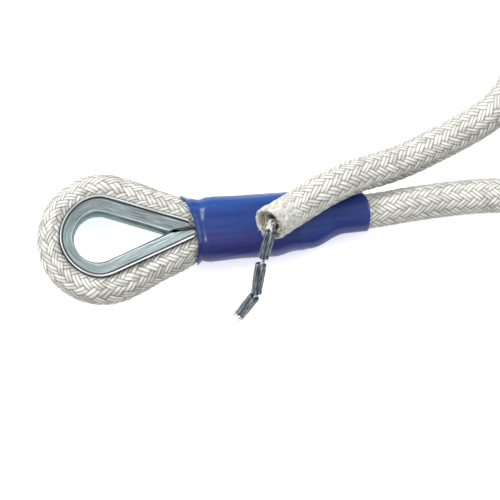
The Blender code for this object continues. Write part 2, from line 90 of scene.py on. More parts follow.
# The free rope's route, as in the CAD, in metres
COIL_CENTRE = (EYE.x + 0.257, 0.0535)
COIL_START = math.radians(233.0)
COIL_TURNS = 4.77
COIL_POINTS = 14  # for each turn
COIL_OUTER = 0.083
COIL_INNER = 0.0466
COIL_PITCH = 0.0143
COIL_LOW = 0.0083
COIL_HIGH = 0.0226
COIL_CLIMB = math.radians(80.0)
HIDDEN_START = (0.0620, 0.00365, 0.0085)
STANDING_ROUTE = [
    (0.0669, 0.0038, 0.0085), (0.0737, 0.0044, 0.0082), (0.0837, 0.0055, 0.0075), (0.0961, 0.0065, 0.0071),
    (0.1077, 0.0069, 0.0071), (0.1187, 0.0066, 0.0072), (0.1297, 0.0046, 0.0076), (0.1407, 0.0004, 0.0081),
    (0.1522, -0.0062, 0.0083),
]
TAIL_ROUTE = [
    (0.1399, 0.0805, 0.0224), (0.1362, 0.0685, 0.0214), (0.1330, 0.0578, 0.0186), (0.1283, 0.0492, 0.0148),
    (0.1220, 0.0424, 0.0112), (0.1139, 0.0374, 0.0086), (0.1045, 0.0330, 0.0073), (0.0946, 0.0286, 0.0075),
    (0.0834, 0.0237, 0.0099), (0.0731, 0.0199, 0.0136), (0.0631, 0.0169, 0.0176), (0.0547, 0.0133, 0.0210),
    (0.0467, 0.0092, 0.0237), (0.0386, 0.0045, 0.0248), (0.0331, 0.0012, 0.0263), (0.0270, -0.00245, 0.0286),
]

# The braid: 12 strands each way, each over two and under two
STRANDS = 24
LAY = 54.0 * MM  # length in which a strand goes once round
FINE_SIDES, FINE_STEP = 96, LAY / 120
COARSE_SIDES, COARSE_STEP = 48, LAY / 24
CUT_SLANT = 0.32  # the cut leans back at the top by this much
SLANT_RUN = 8.0 * MM
COVER_BORE = 4.9 * MM
UNDONE_FROM = 13.0 * MM  # the braid comes undone this far before the cut
FINE_FROM_SLEEVE, FINE_FROM_CUT = 85.0 * MM, 140.0 * MM  # the rope is drawn finely up to here

LINK_R = 2.3 * MM
LINKS = {
    "lead_link_1": ((26.5, -6.1, 29.9), (22.8, -14.9, 22.0)),
    "lead_link_2": ((21.85, -16.8, 20.6), (19.05, -27.6, 14.0)),
    "lead_link_3": ((18.5, -28.25, 12.2), (11.75, -33.9, 3.2)),
}
LINK_1_PIVOT = (26.8, -5.5, 30.5)
LINK_1_SWING = 15.0              # degrees each way

# The ties: flat straps round the coil's section
TIE_SHIFT = (-0.5 * MM, -2.7 * MM)  # from the coil's centre to theirs
TIE_INNER, TIE_OUTER = 39.9 * MM, 85.8 * MM
TIE_THICK, TIE_HALF = 0.95 * MM, 5.0 * MM
TIE_CORNER = 5.5 * MM

# Picture: a long lens almost straight above, turned a little against the eye's axis
VIEW_WIDTH = 200.0 * MM
VIEW_TURN = math.radians(4.2)
VIEW_HEIGHT = math.radians(78.5)
VIEW_CENTRE = (60.8 * MM, -4.1 * MM)
VIEW_DISTANCE = 1.6


# -------- helpers

def ease(t):
    t = min(max(t, 0.0), 1.0)
    return t * t * (3.0 - 2.0 * t)


def bump_at(x, middle, half):
    """1 at middle, falling smoothly to nothing at half a width away."""
    t = min(abs(x - middle) / half, 1.0)
    return (1.0 - t * t) ** 2


def interpolate(table, x):
    """Eased values between the rows of a table, whose first column is x."""
    if x <= table[0][0]:
        return table[0][1:]
    for a, b in zip(table, table[1:]):
        if x <= b[0]:
            t = ease((x - a[0]) / (b[0] - a[0]))
            return tuple(p + (q - p) * t for p, q in zip(a[1:], b[1:]))
    return table[-1][1:]


def smooth_curve(points, steps=10):
    """A Catmull-Rom curve through the points."""
    ends = [2 * points[0] - points[1], *points, 2 * points[-1] - points[-2]]
    curve = []
    for a, b, c, d in zip(ends, ends[1:], ends[2:], ends[3:]):
        for k in range(steps):
            t = k / steps
            curve.append(0.5 * (2 * b + (c - a) * t + (2 * a - 5 * b + 4 * c - d) * t ** 2
                                + (3 * b - a - 3 * c + d) * t ** 3))
    curve.append(points[-1])
    return curve


def spokes(axis):
    """A function that gives the direction square to the axis at a turn round it."""
    side = axis.cross(UP).normalized()
    other = axis.cross(side)
    return lambda turn: side * math.cos(turn) + other * math.sin(turn)


def turns(count):
    return [2 * math.pi * k / count for k in range(count)]


def cloud(x, y, z):
    """Smooth noise at a point."""
    return noise.noise(Vector((x, y, z)))


def ring_cloud(turn, size, along, shift=0.0):
    """Smooth noise that closes round a ring."""
    return cloud(math.cos(turn) * size + shift, math.sin(turn) * size, along)


def scatter(draw, amount):
    return Vector([draw.uniform(-amount, amount) for _ in range(3)])


def add_object(name, data):
    obj = bpy.data.objects.new(name, data)
    bpy.context.scene.collection.objects.link(obj)
    return obj


def make_piece(name, verts, faces, mat, body, uvs=None, sharp=None, undone=None):
    """A mesh piece that rides on a body, finished with the given material."""
    mesh = bpy.data.meshes.new(name)
    mesh.from_pydata([tuple(v) for v in verts], [], faces)
    for layer_name, values in (("surface", uvs), ("undone", undone)):
        if values is not None:
            layer = mesh.uv_layers.new(name=layer_name)
            layer.data.foreach_set("uv", np.asarray(values, dtype=np.float32).ravel())
    mesh.validate()
    mesh.shade_smooth()
    if sharp is not None:
        mesh.set_sharp_from_angle(angle=math.radians(sharp))
    mesh.materials.append(mat)
    obj = add_object(name, mesh)
    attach(obj, body)
    return obj


def loft_data(rings, closed=False):
    """Vertices and faces through rings of equally many points. The rings turn right-handed about the way from
    one to the next, so that the faces point out."""
    count = len(rings[0])
    verts = [p for ring in rings for p in ring]
    faces = []
    spans = len(rings) if closed else len(rings) - 1
    for r in range(spans):
        a, b = r * count, (r + 1) % len(rings) * count
        for k in range(count):
            n = (k + 1) % count
            faces.append((a + k, a + n, b + n, b + k))
    if not closed:
        faces.append(tuple(range(count))[::-1])
        faces.append(tuple(range(len(verts) - count, len(verts))))
    return verts, faces


def join_data(parts):
    """Several (verts, faces) as one."""
    verts, faces = [], []
    for v, f in parts:
        faces.extend(tuple(i + len(verts) for i in face) for face in f)
        verts.extend(v)
    return verts, faces


# -------- materials

def rgba(colour):
    """A colour, or one number for a grey, with full alpha."""
    return (*colour, 1.0) if isinstance(colour, tuple) else (colour, colour, colour, 1.0)


class Nodes:
    """Short ways to add the nodes of a material, or of the sky."""

    def __init__(self, owner, shader="Principled BSDF", **constants):
        owner.use_nodes = True
        self.mat = owner
        self.tree = owner.node_tree
        self.shader = self.tree.nodes[shader]
        for name, value in constants.items():
            self.shader.inputs[name.replace("_", " ").title()].default_value = value

    def put(self, socket, value):
        if hasattr(value, "links"):
            self.tree.links.new(value, socket)
        else:
            socket.default_value = value

    def add_node(self, kind, inputs=(), **settings):
        """A new node with its settings, and with its inputs set to values or linked to other nodes."""
        node = self.tree.nodes.new("ShaderNode" + kind)
        for name, value in settings.items():
            setattr(node, name, value)
        for name, value in dict(inputs).items():
            self.put(node.inputs[name], value)
        return node

    def math(self, operation, *values):
        return self.add_node("Math", enumerate(values), operation=operation).outputs[0]

    def add(self, a, b):
        return self.math("ADD", a, b)

    def sub(self, a, b):
        return self.math("SUBTRACT", a, b)

    def mul(self, a, b):
        return self.math("MULTIPLY", a, b)

    def vector(self, *values):
        return self.add_node("CombineXYZ", enumerate(values)).outputs[0]

    def axes(self, vector):
        return self.add_node("SeparateXYZ", {0: vector}).outputs

    def surface_uv(self, layer="surface"):
        return self.axes(self.add_node("UVMap", uv_map=layer).outputs[0])[:2]

    def place(self, scale=(1.0, 1.0, 1.0)):
        """The place on the piece; what is made from it is drawn out along the axes whose scale is small."""
        spot = self.add_node("TexCoord").outputs["Object"]
        return self.add_node("Mapping", {"Vector": spot, "Scale": scale}).outputs[0]

    def noise(self, vector, scale, detail, roughness=0.5):
        inputs = {"Vector": vector, "Scale": scale, "Detail": detail, "Roughness": roughness}
        return self.add_node("TexNoise", inputs).outputs[0]

    def ramp(self, value, *stops):
        node = self.add_node("ValToRGB", {0: value})
        elements = node.color_ramp.elements
        while len(elements) < len(stops):
            elements.new(0.5)
        for element, (position, colour) in zip(elements, stops):
            element.position = position
            element.color = rgba(colour)
        return node.outputs[0]

    def mix(self, factor, a, b, blend="MIX"):
        a, b = (rgba(value) if isinstance(value, tuple) else value for value in (a, b))
        node = self.add_node("Mix", {0: factor, 6: a, 7: b}, data_type="RGBA", blend_type=blend)
        return node.outputs[2]

    def shade(self, factor, a, b):
        return self.mix(factor, a, b, "MULTIPLY")

    def facing_up(self):
        """0 where the surface stands upright, 1 where it lies flat."""
        return self.math("ABSOLUTE", self.axes(self.add_node("NewGeometry").outputs["Normal"])[2])

    def colour(self, value):
        self.put(self.shader.inputs["Base Color"], value)

    def bump(self, height, distance, strength):
        node = self.add_node("Bump", {"Height": height, "Distance": distance, "Strength": strength})
        self.put(self.shader.inputs["Normal"], node.outputs[0])

    def rough(self, value, low, high):
        node = self.add_node("MapRange", {"Value": value, "To Min": low, "To Max": high})
        self.put(self.shader.inputs["Roughness"], node.outputs[0])


def rope_material(name, bright, painted_dive_grey, dull):
    """White braid with fibres along its strands, with painted shade in the creases between yarns, where a
    strand goes under another and on the rope's upright sides. painted_dive_grey is the grey of the painted
    shade where a strand goes under another, and dull the tone of the dullest strands."""
    n = Nodes(bpy.data.materials.new(name), sheen_weight=0.10, sheen_roughness=0.4)
    u, v = n.surface_uv()
    wide, long = n.mul(u, STRANDS), n.mul(v, STRANDS)
    p, q = n.mul(n.add(wide, long), 0.5), n.mul(n.sub(wide, long), 0.5)
    i, j = n.math("FLOOR", p), n.math("FLOOR", q)
    fp, fq = n.sub(p, i), n.sub(q, j)
    phase = n.math("FLOORED_MODULO", n.add(i, j), 4.0)
    other = n.math("GREATER_THAN", phase, 1.5)
    own = n.sub(1.0, other)

    def pick(first, second):
        """One value for the strands that go one way round, and another for the rest."""
        return n.add(n.mul(first, own), n.mul(second, other))

    across = pick(fp, fq)
    along = n.mul(pick(n.add(phase, fq), n.add(n.sub(phase, 2.0), fp)), 0.5)
    strand = pick(n.mul(i, 1.37), n.add(n.mul(j, 2.19), 61.0))
    stretch = n.add(strand, n.mul(pick(j, i), 0.31))

    fibres = n.noise(n.vector(n.mul(across, 9.0), n.mul(along, 1.1), stretch), 1.0, 3.0)
    tone = n.noise(n.vector(stretch, n.mul(strand, 0.7), 3.3), 2.3, 0.0)
    arch = n.math("SINE", n.mul(along, math.pi))
    yarns = n.math("ABSOLUTE", n.math("SINE", n.mul(across, 2.0 * math.pi)))
    # painted shade: each yarn is painted darker towards its edges, in the creases between yarns and strands
    painted_crease_shade = n.ramp(yarns, (0.05, (0.26, 0.27, 0.23)), (0.42, (0.80, 0.79, 0.76)), (0.85, 1.0))
    # painted shade where a strand goes under its neighbour
    painted_dive_shade = n.ramp(arch, (0.05, (painted_dive_grey, painted_dive_grey, 0.93 * painted_dive_grey)), (0.36, (0.93, 0.925, 0.90)), (0.7, 1.0))
    streaks = n.ramp(fibres, (0.34, (0.60, 0.595, 0.565)), (0.53, 1.0))
    tones = n.ramp(tone, (0.34, (dull, dull, 0.95 * dull)), (0.54, 1.0))
    white = n.shade(0.95, (bright, 0.99 * bright, 0.955 * bright), painted_crease_shade)
    braid = n.shade(0.8, n.shade(0.6, n.shade(0.9, white, painted_dive_shade), streaks), tones)
    tufts = n.noise(n.place(), 800.0, 3.0)
    fluff = n.ramp(tufts, (0.34, (0.42, 0.405, 0.36)), (0.50, (0.68, 0.66, 0.60)), (0.64, (0.80, 0.78, 0.73)))
    undone, _ = n.surface_uv("undone")
    # painted shade: darker where the surface stands upright, on the rope's sides
    sides = n.ramp(n.facing_up(), (0.02, (0.36, 0.36, 0.34)), (0.42, (0.72, 0.72, 0.70)), (0.86, 1.0))
    n.colour(n.shade(0.85, n.mix(undone, braid, fluff), sides))
    # The mesh has the yarns already. The ropes' faces point inwards, so this bump softens them
    combed = n.mul(yarns, n.sub(1.0, undone))
    n.bump(n.add(n.mul(fibres, 0.45), n.mul(combed, 0.55)), 0.45 * MM, 0.9)
    n.rough(fibres, 0.40, 0.22)
    return n.mat


def fibre_material():
    """Cut fibre ends: creamy, with painted shade down in the mouth."""
    n = Nodes(bpy.data.materials.new("cut_fibre"), sheen_weight=0.3)
    clumps = n.noise(n.place(), 900.0, 3.0)
    cream = n.ramp(clumps, (0.32, (0.42, 0.40, 0.34)), (0.5, (0.68, 0.66, 0.59)), (0.66, (0.84, 0.82, 0.76)))
    depth, _ = n.surface_uv()
    # painted shade: darker the deeper down in the mouth
    n.colour(n.mix(depth, cream, n.shade(1.0, cream, (0.06, 0.07, 0.05))))
    n.bump(clumps, 0.25 * MM, 0.8)
    n.rough(clumps, 0.8, 0.55)
    return n.mat


def steel_material():
    """Galvanised sheet: streaks along the pressing, painted shade in the throat, and at the rims painted
    shade lines either side of a painted highlight line.
    """
    n = Nodes(bpy.data.materials.new("galvanised_steel"), metallic=0.55)
    along, across = n.surface_uv()
    streaks = n.noise(n.vector(n.mul(along, 2.2), n.mul(across, 55.0), 0.0), 1.0, 4.0, 0.6)
    spangle = n.noise(n.place(), 260.0, 2.0)
    # painted shade in the throat; at the rim a painted shade line, a painted highlight line, then painted
    # shade on the rim's edge and back
    throat = (0.0, (0.10, 0.16, 0.165)), (0.37, (0.15, 0.22, 0.225)), (0.415, 1.0)
    wall = (0.455, (0.37, 0.43, 0.43)), (0.82, (0.43, 0.48, 0.48))
    rim = (0.87, (0.02, 0.03, 0.035)), (0.905, (0.02, 0.03, 0.035)), (0.94, 1.0), (0.97, 1.0)
    zones_with_painted_light = n.ramp(across, *throat, *wall, *rim, (0.99, (0.03, 0.035, 0.04)))
    lines = n.ramp(streaks, (0.34, (0.31, 0.34, 0.35)), (0.50, 1.0), (0.62, 2.2))
    tints = n.ramp(spangle, (0.38, (0.94, 1.0, 1.0)), (0.62, (1.0, 0.99, 1.02)))
    n.colour(n.shade(1.0, n.shade(1.0, zones_with_painted_light, lines), tints))
    n.bump(streaks, 0.09 * MM, 0.7)
    n.rough(streaks, 0.50, 0.30)
    return n.mat


def sleeve_material():
    """Blue heat-shrink: satin, with faint drawn streaks partly painted as streaky highlights, soft mottling,
    broad painted highlight stripes, and painted lighter and bluer towards +Y, the side towards the lamps.
    """
    n = Nodes(bpy.data.materials.new("shrink_blue"))
    streaks = n.noise(n.place((0.10, 1.0, 1.0)), 420.0, 3.0)
    clouds = n.noise(n.place((0.35, 1.0, 1.0)), 60.0, 2.0)
    # painted light: mottled blue, painted lighter and bluer towards +Y, the side towards the lamps
    _, y, _ = n.axes(n.place())
    base = n.ramp(n.add(n.mul(y, 26.0), n.mul(clouds, 1.1)),
                  (0.30, (0.033, 0.038, 0.178)), (0.85, (0.018, 0.062, 0.265)))
    # the drawn streaks' colour: partly their own tone, partly painted streaky highlight
    lines = n.ramp(streaks, (0.35, (0.78, 0.80, 0.86)), (0.65, (1.22, 1.22, 1.16)))
    # painted highlight: broad lighter stripes along the sleeve
    painted_highlight_bands = n.ramp(n.noise(n.place((0.06, 1.0, 1.0)), 170.0, 1.0),
                   (0.40, (0.88, 0.86, 0.90)), (0.60, (1.15, 1.30, 1.16)))
    n.colour(n.shade(0.9, n.shade(0.8, base, lines), painted_highlight_bands))
    fine = n.noise(n.place(), 900.0, 2.0)
    n.bump(n.add(n.mul(streaks, 0.6), n.mul(fine, 0.4)), 0.05 * MM, 0.6)
    n.rough(streaks, 0.26, 0.14)
    n.shader.inputs["IOR"].default_value = 1.38
    n.shader.inputs["Specular IOR Level"].default_value = 0.36
    return n.mat


def lead_material():
    """Cast lead: dull blue grey, with lengthwise scuffs and bright worn ridges."""
    n = Nodes(bpy.data.materials.new("cast_lead"), metallic=0.65)
    u, v = n.surface_uv()
    scuffs = n.noise(n.vector(n.mul(u, 26.0), n.mul(v, 1.6), 0.0), 1.0, 4.0, 0.65)
    blotch = n.noise(n.place(), 520.0, 3.0)
    dark, middle, worn = (0.030, 0.042, 0.052), (0.13, 0.16, 0.185), (0.62, 0.66, 0.68)
    base = n.ramp(scuffs, (0.38, dark), (0.52, middle), (0.64, worn))
    patches = n.ramp(blotch, (0.38, (0.72, 0.75, 0.78)), (0.62, 1.1))
    n.colour(n.shade(1.0, base, patches))
    n.bump(n.add(scuffs, n.mul(blotch, 0.5)), 0.16 * MM, 0.9)
    n.rough(scuffs, 0.52, 0.30)
    return n.mat


def string_material(name, light, dark):
    """Twisted string or twine."""
    n = Nodes(bpy.data.materials.new(name), sheen_weight=0.2)
    grain = n.noise(n.place(), 1500.0, 3.0)
    n.colour(n.ramp(grain, (0.38, dark), (0.52, light)))
    n.bump(grain, 0.12 * MM, 0.8)
    n.rough(grain, 0.7, 0.5)
    return n.mat


def strap_material():
    """Woven strap: ribs across and fine weave along."""
    n = Nodes(bpy.data.materials.new("woven_strap"))
    u, v = n.surface_uv()
    ribs = n.math("SINE", n.mul(u, 2 * math.pi * 110.0))
    weft = n.math("SINE", n.mul(v, 2 * math.pi * 14.0))
    weave = n.add(n.mul(n.mul(ribs, weft), 0.5), 0.5)
    lint = n.noise(n.place(), 1500.0, 2.0)
    base = n.ramp(weave, (0.2, (0.010, 0.010, 0.012)), (0.8, (0.045, 0.045, 0.050)))
    n.colour(n.shade(1.0, base, n.ramp(lint, (0.5, 0.8), (0.72, 1.7))))
    n.bump(weave, 0.20 * MM, 0.8)
    n.rough(lint, 0.85, 0.65)
    return n.mat


# -------- camera and lights

def camera():
    right = Vector((math.cos(VIEW_TURN), -math.sin(VIEW_TURN), 0.0))
    ahead = UP.cross(right)
    target = EYE + right * VIEW_CENTRE[0] + ahead * VIEW_CENTRE[1] / math.sin(VIEW_HEIGHT)
    back = UP * math.sin(VIEW_HEIGHT) - ahead * math.cos(VIEW_HEIGHT)
    data = bpy.data.cameras.new("camera")
    data.sensor_width = 36.0
    data.lens = data.sensor_width * VIEW_DISTANCE / VIEW_WIDTH
    data.clip_start = 0.05
    obj = add_object("camera", data)
    axes = Matrix((right, back.cross(right), back)).transposed().to_4x4()
    obj.matrix_world = Matrix.Translation(target + back * VIEW_DISTANCE) @ axes
    bpy.context.scene.camera = obj


def area_light(name, place, target, size, power, colour):
    data = bpy.data.lights.new(name, "AREA")
    data.shape = "RECTANGLE"
    data.size, data.size_y = size
    data.energy = power
    data.color = colour
    obj = add_object(name, data)
    obj.location = place
    obj.rotation_euler = (Vector(target) - Vector(place)).to_track_quat("-Z", "Y").to_euler()


def sky():
    """Soft light from all round, dimmer near the horizon and on the viewer's side."""
    world = bpy.data.worlds.new("studio")
    bpy.context.scene.world = world
    n = Nodes(world, "Background")
    _, y, z = n.axes(n.add_node("TexCoord").outputs["Generated"])
    colour = n.ramp(z, (0.0, (0.27, 0.29, 0.31)), (0.35, (0.46, 0.48, 0.50)), (0.9, 0.96))
    n.put(n.shader.inputs["Color"], colour)
    n.put(n.shader.inputs["Strength"], n.math("MULTIPLY_ADD", y, 0.35, 0.90))


def studio():
    """A white table under a soft sky, with a lamp at the picture's upper left and a weaker one opposite."""
    area_light("key", (-0.78, 0.40, 0.74), (0.03, 0.0, 0.0), (0.70, 0.24), 8.8, (1.0, 0.99, 0.97))
    area_light("fill", (0.80, 0.30, 0.85), (0.12, 0.0, 0.0), (0.60, 0.60), 3.6, (0.97, 0.99, 1.0))
    sky()
    n = Nodes(bpy.data.materials.new("table_white"), roughness=0.9, emission_strength=0.56)
    n.shader.inputs["Emission Color"].default_value = rgba(1.0)
    n.colour(n.ramp(n.noise(n.place(), 4.0, 2.0), (0.3, 0.95), (0.7, 0.97)))
    half = 3.0
    corners = [(-half, -half, 0), (half, -half, 0), (half, half, 0), (-half, half, 0)]
    mesh = bpy.data.meshes.new("table")
    mesh.from_pydata(corners, [], [(0, 1, 2, 3)])
    mesh.materials.append(n.mat)
    table = add_object("table", mesh)
    table.location = (0.0, 0.0, -0.3 * MM)
    bpy.context.scene.view_settings.view_transform = "Standard"


# -------- braid

def braid_height(wide, long):
    """Height of the braid's surface over its mean, in mm, where wide and long count the strand spacings."""
    p, q = (wide + long) / 2, (wide - long) / 2
    i, j = np.floor(p), np.floor(q)
    fp, fq = p - i, q - j
    phase = np.mod(i + j, 4)
    over = phase < 2
    across = np.where(over, fp, fq)
    along = np.where(over, phase + fq, phase - 2 + fp) / 2
    crown = 1.0 - np.abs(2.0 * across - 1.0) ** 3
    yarns = np.abs(np.sin(2.0 * np.pi * across)) ** 0.8
    arch = np.sqrt(np.clip(np.sin(np.pi * along), 0.0, 1.0))
    return -0.72 + 0.12 * crown + 0.36 * yarns * (0.4 + 0.6 * arch) + 0.36 * arch


def wobble(turn, s, amount):
    """Small unevenness of the strands, in strand spacings."""
    wide = 0.16 * np.sin(s * 95.0 + 1.0) + 0.10 * np.sin(s * 233.0 + 3.0 * turn)
    long = 0.22 * np.sin(s * 61.0 + 2.0 * turn + 0.7) + 0.12 * np.sin(s * 171.0 - turn)
    return amount * wide, amount * long


def unit(rows):
    return rows / np.linalg.norm(rows, axis=-1, keepdims=True)


class RopeLine:
    """A rope's centreline with its side and up directions and half sizes at each distance s."""

    def __init__(self, centres, half_widths, half_heights, sides=None):
        centres = np.array([tuple(c) for c in centres])
        steps = np.linalg.norm(np.diff(centres, axis=0), axis=1)
        self.s = np.concatenate([[0.0], np.cumsum(steps)])
        tangents = unit(np.gradient(centres, self.s, axis=0))
        if sides is None:
            side, sides = np.cross(tangents[0], UP), []
            for t in tangents:
                side = unit(side - t * side.dot(t))
                sides.append(side)
        self.columns = np.column_stack([centres, tangents, sides, half_widths, half_heights]).T

    def length(self):
        return self.s[-1]

    def at(self, s):
        row = np.array([np.interp(s, self.s, column) for column in self.columns])
        centre, tangent, side = row[0:3], unit(row[3:6]), row[6:9]
        side = unit(side - tangent * side.dot(tangent))
        return centre, tangent, side, np.cross(side, tangent), row[9], row[10]


def ring_plan(length, is_fine):
    """Distances and side counts of the rings: close together where is_fine says, else far apart."""
    plan = []
    ratio = round(COARSE_STEP / FINE_STEP)
    for k in range(int(length / FINE_STEP) + 1):
        fine = is_fine(k * FINE_STEP)
        if fine or k % ratio == 0:
            plan.append((k * FINE_STEP, FINE_SIDES if fine else COARSE_SIDES))
    return plan


def braided_rope(name, line, mat, is_fine, smooth_end=None, lip=(), uneven=1.0):
    """A braided tube along the line. smooth_end(s) says how far the braid has come undone, and lip adds rings
    at the far end: (distance past it, radius) pairs."""
    end = line.length()
    verts, rings, faces, uvs, fluffed = [], [], [], [], []

    def add_ring(points, wide, long, undone):
        rings.append((len(verts), wide, long, undone))
        verts.extend(points)

    def face(*corners):
        for r, k in corners:
            _, wide, long, undone = rings[r]
            over, k = divmod(k, len(wide))
            uvs.append(((wide[k] + STRANDS * over) / STRANDS, long[k] / STRANDS))
            fluffed.append((undone, 0.0))
        faces.append(tuple(rings[r][0] + k % len(rings[r][1]) for r, k in corners))

    for s, sides in ring_plan(end, is_fine):
        turn = 2 * np.pi * np.arange(sides) / sides
        centre, tangent, side, up, a, b = line.at(s)
        wide = STRANDS * np.arange(sides) / sides
        d_wide, d_long = wobble(turn, s, uneven if sides == FINE_SIDES else 0.0)
        crossings = wide + d_wide, STRANDS * s / LAY + d_long
        height = braid_height(*crossings)
        undone = smooth_end(s) if smooth_end else 0.0
        if undone > 0:
            fluff = np.array([ring_cloud(t, 4.5, s * 500.0) for t in turn])
            height = height * (1 - undone) + undone * (0.45 * fluff - 0.05)
        height = height * MM
        ring = centre + np.outer((a + height) * np.cos(turn), side)
        ring = ring + np.outer((b + height) * np.sin(turn), up)
        if lip:
            pull = CUT_SLANT * ease(1.0 - (end - s) / SLANT_RUN)
            ring = ring - np.outer(pull * ((ring - centre) @ up), tangent)
        add_ring(ring, *crossings, undone)
    centre, tangent, side, up, _, _ = line.at(end)
    for past, radius in lip:
        r = radius + np.array([ring_cloud(t, 3.0, past * 900.0 + 5.0) for t in turn]) * 0.4 * MM
        spots = np.outer(r * np.cos(turn), side) + np.outer(r * np.sin(turn), up)
        slant = CUT_SLANT * (spots @ up) * (past > -5.0 * MM)
        long = np.full(sides, STRANDS * (end + abs(past)) / LAY)
        add_ring(centre + np.outer(past - slant, tangent) + spots, wide, long, 1.0)

    for r in range(len(rings) - 1):
        n0, n1 = len(rings[r][1]), len(rings[r + 1][1])
        for k in range(min(n0, n1)):
            if n0 == n1:
                face((r, k), (r, k + 1), (r + 1, k + 1), (r + 1, k))
            elif n0 > n1:
                face((r, 2 * k), (r, 2 * k + 1), (r + 1, k))
                face((r, 2 * k + 1), (r + 1, k + 1), (r + 1, k))
                face((r, 2 * k + 1), (r, 2 * k + 2), (r + 1, k + 1))
            else:
                face((r, k), (r + 1, 2 * k + 1), (r + 1, 2 * k))
                face((r, k), (r, k + 1), (r + 1, 2 * k + 1))
                face((r, k + 1), (r + 1, 2 * k + 2), (r + 1, 2 * k + 1))
    face(*[(0, k) for k in range(len(rings[0][1]))][::-1])
    face(*[(len(rings) - 1, k) for k in range(sides)])
    return make_piece(name, verts, faces, mat, "root", uvs, undone=fluffed)


def coil_route():
    """The coil's centreline: in along the lower layer, up, and out again along the upper layer."""
    turn_back = COIL_START + 2 * math.pi * (COIL_OUTER - COIL_INNER) / COIL_PITCH
    count = round(COIL_TURNS * COIL_POINTS)
    route = []
    for k in range(count + 1):
        angle = COIL_START + 2 * math.pi * COIL_TURNS * k / count
        radius = COIL_INNER + COIL_PITCH * abs(angle - turn_back) / (2 * math.pi)
        z = COIL_LOW + (COIL_HIGH - COIL_LOW) * ease((angle - turn_back) / COIL_CLIMB + 0.5)
        x, y = COIL_CENTRE[0] + radius * math.cos(angle), COIL_CENTRE[1] + radius * math.sin(angle)
        route.append((x, y, z))
    return route


def free_rope_line():
    route = (HIDDEN_START, *STANDING_ROUTE, *coil_route(), *TAIL_ROUTE)
    centres = smooth_curve([Vector(p) for p in route])
    radii = [ROPE_R] * len(centres)
    return RopeLine(centres, radii, radii)


def free_rope(line, mat):
    """The one free rope from inside the sleeve to its cut end."""
    length, bore = line.length(), COVER_BORE / MM + 0.15
    lip = [(0.6, 6.9), (1.1, 6.4), (1.1, 5.8), (0.6, 5.3), (-1.5, bore), (-8.0, bore)]
    return braided_rope(
        "braided_rope", line, mat, is_fine=lambda s: s < FINE_FROM_SLEEVE or s > length - FINE_FROM_CUT,
        smooth_end=lambda s: ease((s - length + UNDONE_FROM) / (8.0 * MM)),
        lip=[(past * MM, radius * MM) for past, radius in lip],
    )


def leg_point(table, x):
    y, a, b = interpolate(table, x)
    return Vector((EYE.x + x * MM, y * MM, EYE.z)), a, b


def eye_rope_line():
    """From inside the sleeve round the thimble and back to the dead end."""
    legs = [104.0, 99.0, 94.0, 88.0, 81.0, 70.0, 60.0, 50.0, 47.6, 44.5, 41.4, 38.4, 34.2, 26.0]
    spots = [leg_point(STANDING_LEG, x) for x in legs]
    middle = EYE + Vector((EYE_ROPE_X, 0.0, 0.0))
    start, steps = math.radians(65.0), 26
    for k in range(steps + 1):
        angle = start + (2 * math.pi - 2 * start) * k / steps
        out = Vector((math.cos(angle), math.sin(angle), 0.0))
        spots.append((middle + out * EYE_ROPE_R, 6.8 + math.cos(angle) * 0.17, 7.0))
    for x in [x for x in legs[::-1] if x < DEAD_END] + [DEAD_END - 1.0]:
        spots.append(leg_point(DEAD_LEG, x))
    centres = smooth_curve([s[0] for s in spots], 8)
    sizes = smooth_curve([Vector((s[1], s[2], 0.0)) for s in spots], 8)
    tangents = [(b - a).normalized() for a, b in zip(centres, centres[1:])]
    sides = [t.cross(UP).normalized() for t in tangents + tangents[-1:]]
    half_widths = []
    for c, size, side in zip(centres, sizes, sides):
        straight = ease((c.x - EYE.x - 14.0 * MM) / (10.0 * MM))
        half_widths.append(size.x * (1 - straight + abs(side.y) * straight) * MM)
    return RopeLine(centres, half_widths, [size.y * MM for size in sizes], sides)


def eye_rope(mat):
    line = eye_rope_line()
    fine_to = EYE.x + 48.0 * MM
    piece = braided_rope("eye_rope_braid", line, mat, lambda s: line.at(s)[0][0] < fine_to, uneven=1.8)
    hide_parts("eye_rope")


# -------- thimble

def leg_reach(out, up, tip, gap):
    """How far a leg of the thimble runs past the crown's arc, in metres, at one point of its section (mm): to
    where the legs meet, or to its slanting end."""
    lift = ease((abs(up) - 3.0) / 4.0)
    stop = 0.35 * (1.0 - lift) + gap * lift
    radius = CROWN_R / MM + out
    meet = (radius * math.cos(LEG_ANGLE) - stop) / math.sin(LEG_ANGLE)
    end = THROAT_END + (tip - THROAT_END) * ease((abs(up) - 3.5) / 3.5) - 0.10 * (out - 5.0) ** 2
    cut = (end - radius * math.sin(LEG_ANGLE)) / math.cos(LEG_ANGLE)
    return min(meet, cut) * MM


